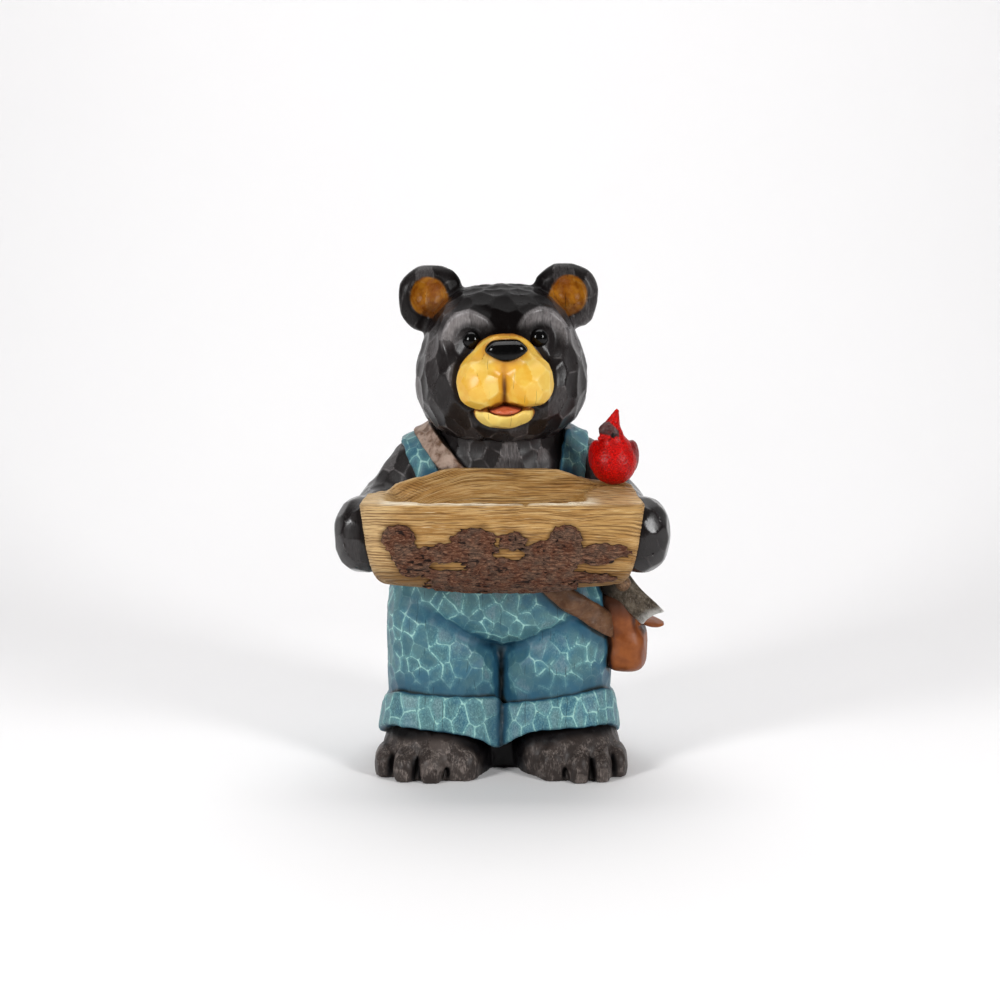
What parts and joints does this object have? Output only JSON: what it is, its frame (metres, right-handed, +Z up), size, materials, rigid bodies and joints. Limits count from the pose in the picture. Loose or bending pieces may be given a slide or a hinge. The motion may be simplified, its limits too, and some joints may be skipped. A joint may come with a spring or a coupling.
{
  "type": "bear bird bath statue",
  "caption": "Garden statue of a standing bear in bib overalls that holds a hollowed half log as a bird bath, with a red cardinal perched on the log's end.",
  "frame": {"origin": "middle of the flat underside, on the web between the feet", "axes": "+Z up, the bear faces -Y, +X towards the side with the satchel and the bird"},
  "size_m": [0.3302, 0.2601, 0.5114],
  "materials": {
    "fur_paint": "near black paint with grey dry brushing over chip-carved facets, satin sealer",
    "feet_paint": "dark grey-brown paint, satin sealer",
    "muzzle_paint": "golden yellow paint with orange shading, satin sealer",
    "gloss_black": "gloss black paint on nose and eyes",
    "tongue_paint": "coral pink paint",
    "overalls_paint": "teal blue paint with pale aqua lines on the facet edges, satin sealer",
    "strap_paint": "grey-brown paint, satin sealer",
    "satchel_paint": "reddish tan paint, satin sealer",
    "steel_paint": "dark pewter paint with a silvered edge",
    "wood_paint": "golden brown paint over wood grain with cream dry brushing on its edges",
    "bark_paint": "rough dark red-brown paint",
    "cardinal_paint": "bright red stippled paint with a grey-black mask, satin sealer"
  },
  "bodies": {
    "root": {"bear": "fur_paint", "log_trough": "wood_paint", "cardinal": "cardinal_paint"}
  },
  "joints": []
}
